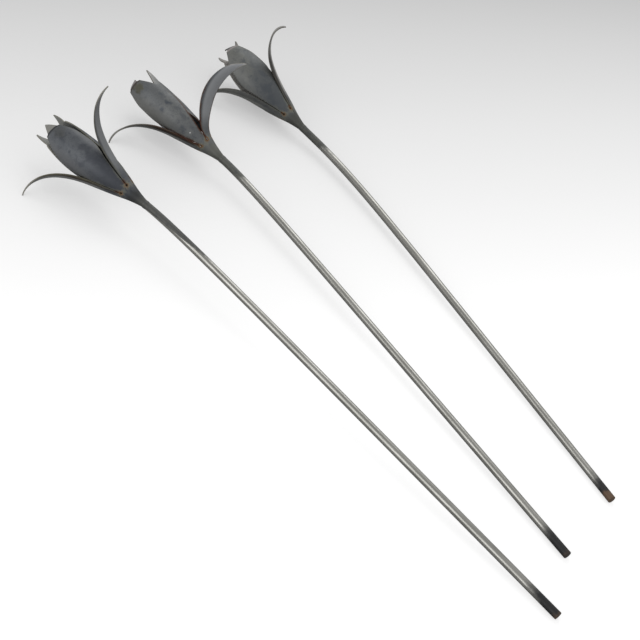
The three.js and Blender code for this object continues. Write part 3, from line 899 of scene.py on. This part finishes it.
def blotch(nodes, place, kept, along, across, length, width, lean, amount):
    """Mask of a blotch, with its place and size in millimetres."""
    inputs = {"Place": place, "Lay": kept, "Along": along * MM, "Across": across * MM}
    inputs |= {"Length": length * MM, "Width": width * MM, "Lean": lean, "Amount": amount}
    return nodes.effect(BLOTCH, inputs)["Mask"]


def from_keyhole(nodes, lay):
    """Distance from the rim of the nearest keyhole."""
    from_centre = nodes.hypotenuse(nodes.minus(lay["X"], KEYHOLE_RADIUS), lay["Y"])
    return nodes.minus(from_centre, KEYHOLE_RADIUS)


def from_slit(nodes, lay):
    """Distance from the edge of the nearest slit."""
    return nodes.minus(lay["Y"], SLIT_WIDTH / 2)


def only(nodes, petal, name):
    """Mask of one petal: full within 0.1 of its number, none of it 0.4 away."""
    number = PETAL_NUMBERS[name]
    return nodes.product(nodes.span(petal, number - 0.4, number - 0.1), nodes.span(petal, number + 0.4, number + 0.1))


def marked(head, value):
    """A plain value, the head's mark of that name, or a place beside that mark."""
    if isinstance(value, tuple) and isinstance(value[0], str):
        return head[value[0]] + value[1]
    return head.get(value, value)


def tinted(nodes, places, masks, color, head, rows):
    """A colour with rows of tones laid on it."""
    for petals, tone, amount, *stretches in rows:
        mask = nodes.product(masks[petals], marked(head, amount))
        for place, none, full in stretches:
            mask = nodes.product(mask, nodes.span(places[place], marked(head, none) * MM, marked(head, full) * MM))
        color = nodes.blend(mask, color, marked(head, tone))
    return color


def rusted(nodes, place, lay, color, head, halo):
    """Rust in the keyholes and along the slits, with the pale halo that heat leaves round it."""
    along, hole, slit = lay["X"], from_keyhole(nodes, lay), from_slit(nodes, lay)
    beyond = nodes.fade(along, "beyond_hole")
    rust_to = head["rust_to"] * MM
    near_root = nodes.span(along, rust_to, RUST_FULL_TO * rust_to)

    def creep(name, distance, amount):
        reach, share, grain = CREEPS[name]
        inputs = {"Place": place, "Distance": distance, "Reach": reach * MM, "Amount": share * amount, "Grain": grain}
        return nodes.effect(CREEP, inputs)["Mask"]

    color = nodes.blend(creep("hole_halo", hole, halo), color, CREAM_HALO)
    cream = nodes.span(along, head["cream_to"] * MM, HALO_FULL_FROM)
    run = nodes.product(creep("slit_halo", slit, halo), cream, beyond)
    color = nodes.blend(run, color, CREAM_HALO)
    for name, tone in (("brown_rust", RUST_BROWN), ("red_rust", RUST_RED)):
        run = nodes.product(creep(name, slit, head["rust"]), near_root, beyond)
        color = nodes.blend(run, color, tone)
    bloom = creep("hole_rust", hole, head["rust"])
    color = nodes.blend(bloom, color, RUST_ORANGE)
    edge = nodes.product(creep("dark_slit", slit, 1), nodes.fade(along, "dark_slit"))
    return nodes.blend(edge, color, head["edge"]), bloom


def scaled_outside(name, head):
    """Outer face of a head."""
    material, nodes, shader, place, kept = steel_finish(name, "scaled_sheet")
    lay = nodes.split(kept)
    along, across = lay["X"], lay["Z"]
    places = {"along": along, "across": across, "from_slit": from_slit(nodes, lay)}
    places["from_crease"] = nodes.math("ABSOLUTE", nodes.minus(along, SHOULDER - CREASE_BEFORE_FOLD))
    petal = nodes.kept("petal", "Fac")
    masks = {name: only(nodes, petal, name) for name in ("outer_top", "inner_near", "outer_near", "inner_bottom")}
    front = masks["inner_near"]
    masks["all_but_front"] = nodes.minus(1.0, front)
    masks["other_inner"] = nodes.minus(nodes.math("PINGPONG", petal, 1.0), front)
    scale = forge_scale(nodes, place, head["pale"], head["middle"], head["dark"], head["patches"])
    color = tinted(nodes, places, masks, scale["Color"], head, FRONT_TONES)
    for spot in head["spots"]:
        color = nodes.blend(nodes.product(blotch(nodes, place, kept, *spot), front), color, head["dark"])
    from_speck = nodes.hypotenuse(nodes.minus(along, SPECK_AT[0]), nodes.minus(across, SPECK_AT[1]))
    color = nodes.blend(nodes.product(front, nodes.fade(from_speck, "speck"), head["speck"]), color, PALE_SPECK)
    stain = blotch(nodes, place, kept, *head["stain"], *STAIN_SIZE, 0, head["olive"])
    color = nodes.blend(nodes.product(stain, front), color, OLIVE_STAIN)
    color = tinted(nodes, places, masks, color, head, PETAL_TONES)
    ragged = nodes.product(nodes.pattern(place, "neck_outline"), NECK_RAGGED)
    color = nodes.blend(nodes.fade(nodes.plus(along, ragged), "neck"), color, head["neck"])
    color = nodes.blend(nodes.fade(along, "cone_end"), color, BARS[name]["scale"])
    color, bloom = rusted(nodes, place, lay, color, head, head["halo"])
    metallic = nodes.between(bloom, METALLIC["outside"], METALLIC["rust"])
    roughness = nodes.between(bloom, scale["Roughness"], RUST_ROUGHNESS)
    dress(nodes, shader, color, metallic, roughness, scale["Height"], SHEET_RELIEF)
    return material


def scaled_inside(name, head):
    """Inner face of a head: brown and dull, rusty in the cone, paler on the tips."""
    material, nodes, shader, place, kept = steel_finish(name, "sheet_inside")
    lay = nodes.split(kept)
    petal = nodes.kept("petal", "Fac")
    inner = nodes.math("PINGPONG", petal, 1.0)
    hidden = nodes.plus(only(nodes, petal, "inner_bottom"), only(nodes, petal, "inner_far"))
    masks = {"inner": inner, "outer": nodes.minus(1.0, inner), "hidden": hidden}
    scale = forge_scale(nodes, place, INSIDE_BROWN, INSIDE_BROWN, INSIDE_DARK, PATCHES)
    color = tinted(nodes, {"along": lay["X"]}, masks, scale["Color"], head, INSIDE_TONES)
    color, bloom = rusted(nodes, place, lay, color, head, 0)
    color = nodes.blend(nodes.fade(lay["X"], "cone_rust"), color, CONE_RUST)
    metallic = nodes.between(bloom, METALLIC["inside"], METALLIC["rust"])
    roughness = nodes.between(bloom, scale["Roughness"], RUST_ROUGHNESS)
    dress(nodes, shader, color, metallic, roughness, scale["Height"], SHEET_RELIEF)
    return material


def cut_edge(name, head):
    """The sheet's cut edge: rusty near the root, darkened by painted shade in the slits, bare and pale on the tips,
    where a painted highlight lies.
    """
    material, nodes, shader, place, kept = steel_finish(name, "cut_edge")
    lay = nodes.split(kept)
    along = lay["X"]
    scale = forge_scale(nodes, place, head["edge"], head["edge"], head["dark"], EDGE_PATCHES)
    # painted shade darkens the cut edge in the slits, up to where it clears
    color = nodes.blend(nodes.fade(along, "slit_shade_clears"), PAINTED_SLIT_SHADE, scale["Color"])
    # painted highlight on the cut edge at the tips
    color = nodes.blend(nodes.product(nodes.fade(along, "tip_highlight"), TIP_HIGHLIGHT_AMOUNT), color, PAINTED_EDGE_HIGHLIGHT)
    rust_to = head["rust_to"] * MM
    cloudy = nodes.level(nodes.pattern(place, "rust_clouds"), "rust")
    rust = nodes.product(nodes.span(along, rust_to, EDGE_RUST_FULL_TO * rust_to), cloudy, head["rust"])
    color = nodes.blend(rust, color, RUST_RED)
    hole = nodes.product(nodes.fade(from_keyhole(nodes, lay), "hole_edge"), head["rust"])
    color = nodes.blend(hole, color, RUST_ORANGE)
    metallic = nodes.between(rust, METALLIC["edge"], METALLIC["rust"])
    roughness = nodes.between(rust, EDGE_ROUGHNESS, RUST_ROUGHNESS)
    dress(nodes, shader, color, metallic, roughness, scale["Height"], EDGE_RELIEF)
    return material


def drawn_steel(name, bar):
    """The bar: forge scale below the neck, bare drawn steel along it, an end blackened by the fire, and painted shade
    along its underside.
    """
    material, nodes, shader, place, kept = steel_finish(name, "drawn_bar")
    lay = nodes.split(kept)
    bare = nodes.effect(DRAWN_BAR, {"Lay": kept, "Place": place, "Bare": BARE_STEEL, "Dull": DULL_STEEL})
    scale = forge_scale(nodes, place, bar["scale"], bar["scale"], BLUE_BLACK, PATCHES)
    cloudy = nodes.ripple(place, "fire_outline")
    upper = nodes.math("DIVIDE", lay["Y"], BAR_RADIUS)
    at = nodes.plus(lay["X"], nodes.product(upper, bar["slant"] * MM))
    neck = nodes.fade(nodes.plus(at, nodes.product(cloudy, BAR_NECK_RAGGED)), "bar_scale", bar["bare_to"] * MM)
    at = nodes.plus(lay["X"], nodes.product(cloudy, BAR_END_RAGGED))
    rust = nodes.product(nodes.fade(at, "bar_rust", bar["rust_to"] * MM), bar["rust"])
    at = nodes.minus(at, nodes.product(upper, bar["black_slant"] * MM))
    black = nodes.fade(at, "bar_black", bar["black_to"] * MM)
    # painted shade darkens the bar's underside
    painted_underside_shade = nodes.product(nodes.span(lay["Y"], 0, -BAR_RADIUS), PAINTED_UNDERSIDE_SHADE)
    color = nodes.blend(painted_underside_shade, bare["Color"], BAR_PAINTED_UNDERSIDE_SHADE)
    color = nodes.blend(neck, color, scale["Color"])
    color = nodes.blend(black, color, SOOT)
    color = nodes.blend(rust, color, END_RUST)
    skin = nodes.math("MAXIMUM", neck, black)
    metallic = nodes.between(skin, METALLIC["bare_bar"], METALLIC["scaled_bar"])
    roughness, height = (nodes.between(skin, bare[output], scale[output]) for output in ("Roughness", "Height"))
    dress(nodes, shader, color, metallic, roughness, height, BAR_RELIEF)
    return material


def dressed_weld(name, tone):
    """The weld: the scale of its bar over file marks."""
    material, nodes, shader = new_finish(f"{name}_dressed_weld")
    place = nodes.shifted(nodes.place(), SHIFTS[name])
    scale = forge_scale(nodes, place, tone, tone, BLUE_BLACK, PATCHES)
    marks = nodes.pattern(nodes.shifted(place, (0, 0, 0), FILE_STRETCH), "file_marks")
    height = nodes.mix(scale["Height"], SCALE_IN_WELD, marks)
    dress(nodes, shader, scale["Color"], METALLIC["weld"], scale["Roughness"], height, SHEET_RELIEF)
    return material


for name, lily in LILIES.items():
    head, bar, ring = build_lily(name, lily)
    head.data.materials.append(scaled_outside(name, HEADS[name]))
    head.data.materials.append(scaled_inside(name, HEADS[name]))
    head.data.materials.append(cut_edge(name, HEADS[name]))
    bar.data.materials.append(drawn_steel(name, BARS[name]))
    ring.data.materials.append(dressed_weld(name, BARS[name]["scale"]))

# The floor: pale and plain, grey behind the flowers and white below the stems
FLOOR_SHADES = [(-0.95, 0.52), (-0.77, 0.62), (-0.485, 0.765), (-0.28, 0.858), (-0.095, 0.95), (0.1, 1.05)]
FLOOR_TURN = math.radians(-10)
FLOOR_ALBEDO = 0.5
FLOOR_LIT = 0.38
FLOOR_SIZE = 14
FLOOR_DROP = 0.2 * MM


def pale_floor():
    """A dull floor that glows towards the camera alone, by what its own shade is short of the photograph's."""
    material, nodes, shader = new_finish("pale_floor")
    turned = nodes.put("ShaderNodeMapping", {"Vector": nodes.place(), "Rotation": (0, 0, -FLOOR_TURN)}).outputs[0]
    low, high = FLOOR_SHADES[0][0], FLOOR_SHADES[-1][0]
    reach = {"Value": nodes.split(turned)["X"], "From Min": low, "From Max": high}
    share = nodes.put("ShaderNodeMapRange", reach).outputs[0]
    ramp = nodes.put("ShaderNodeValToRGB", {"Fac": share})
    stops = ramp.color_ramp.elements
    while len(stops) < len(FLOOR_SHADES):
        stops.new(0.5)
    for stop, (at, shade) in zip(stops, FLOOR_SHADES):
        stop.position = (at - low) / (high - low)
        stop.color = (shade, shade, shade, 1)
    seen = nodes.put("ShaderNodeLightPath").outputs["Is Camera Ray"]
    shader.inputs["Base Color"].default_value = (FLOOR_ALBEDO, FLOOR_ALBEDO, FLOOR_ALBEDO, 1)
    shader.inputs["Roughness"].default_value = 1
    shader.inputs["Specular IOR Level"].default_value = 0
    glow = nodes.minus(ramp.outputs["Color"], FLOOR_LIT)
    grey = nodes.put("ShaderNodeCombineColor", {"Red": glow, "Green": glow, "Blue": glow}).outputs[0]
    nodes.feed(shader.inputs["Emission Color"], grey)
    nodes.feed(shader.inputs["Emission Strength"], seen)
    return material


bpy.ops.object.select_all(action="DESELECT")
bpy.ops.mesh.primitive_plane_add(size=FLOOR_SIZE, location=(0, 0, -FLOOR_DROP))
floor = bpy.context.object
floor.name = "floor"
floor.data.materials.append(pale_floor())

# The camera stands by the stem ends, looks down and leans to its side
CAMERA_FROM_STEM_END = Vector((811.8, -1835.5, 0)) * MM
CAMERA_HEIGHT = 1659 * MM
CAMERA_HEADING = math.atan2(0.63839, -0.48474)
CAMERA_PITCH = math.radians(36.72)
CAMERA_LEAN = math.radians(24.81)
LENS = 100.3
SENSOR = 36
SIGHT = 50
middle_end = Vector(STEM_ENDS["middle_stem_end"]["pos_m"])
camera_data = bpy.data.cameras.new("camera")
camera_data.lens = LENS
camera_data.sensor_width = SENSOR
camera_data.clip_end = SIGHT
camera = bpy.data.objects.new("camera", camera_data)
bpy.context.scene.collection.objects.link(camera)
spot = Vector((middle_end.x, middle_end.y, 0)) + CAMERA_FROM_STEM_END + Vector((0, 0, CAMERA_HEIGHT))
turn = Matrix.Rotation(CAMERA_HEADING - math.pi / 2, 4, "Z")
nod = Matrix.Rotation(math.pi / 2 - CAMERA_PITCH, 4, "X")
lean = Matrix.Rotation(CAMERA_LEAN, 4, "Z")
camera.matrix_world = Matrix.Translation(spot) @ turn @ nod @ lean
bpy.context.scene.camera = camera


LAMP_SIZE = 2.4
WORLD_STRENGTH = 0.6


def soft_light(name, place, power):
    """A wide round lamp that shines on the middle of the floor."""
    data = bpy.data.lights.new(name, "AREA")
    data.shape = "DISK"
    data.size = LAMP_SIZE
    data.energy = power
    lamp = bpy.data.objects.new(name, data)
    bpy.context.scene.collection.objects.link(lamp)
    lamp.location = place
    lamp.rotation_euler = (-Vector(place)).to_track_quat("-Z", "Y").to_euler()


soft_light("key_light", (-2.0, 1.6, 2.6), 28)
soft_light("front_light", (-0.3, -2.7, 1.0), 26)

world = bpy.data.worlds.new("studio")
world.use_nodes = True
world.node_tree.nodes["Background"].inputs["Color"].default_value = (1, 1, 1, 1)
world.node_tree.nodes["Background"].inputs["Strength"].default_value = WORLD_STRENGTH
bpy.context.scene.world = world
bpy.context.scene.view_settings.view_transform = "Standard"
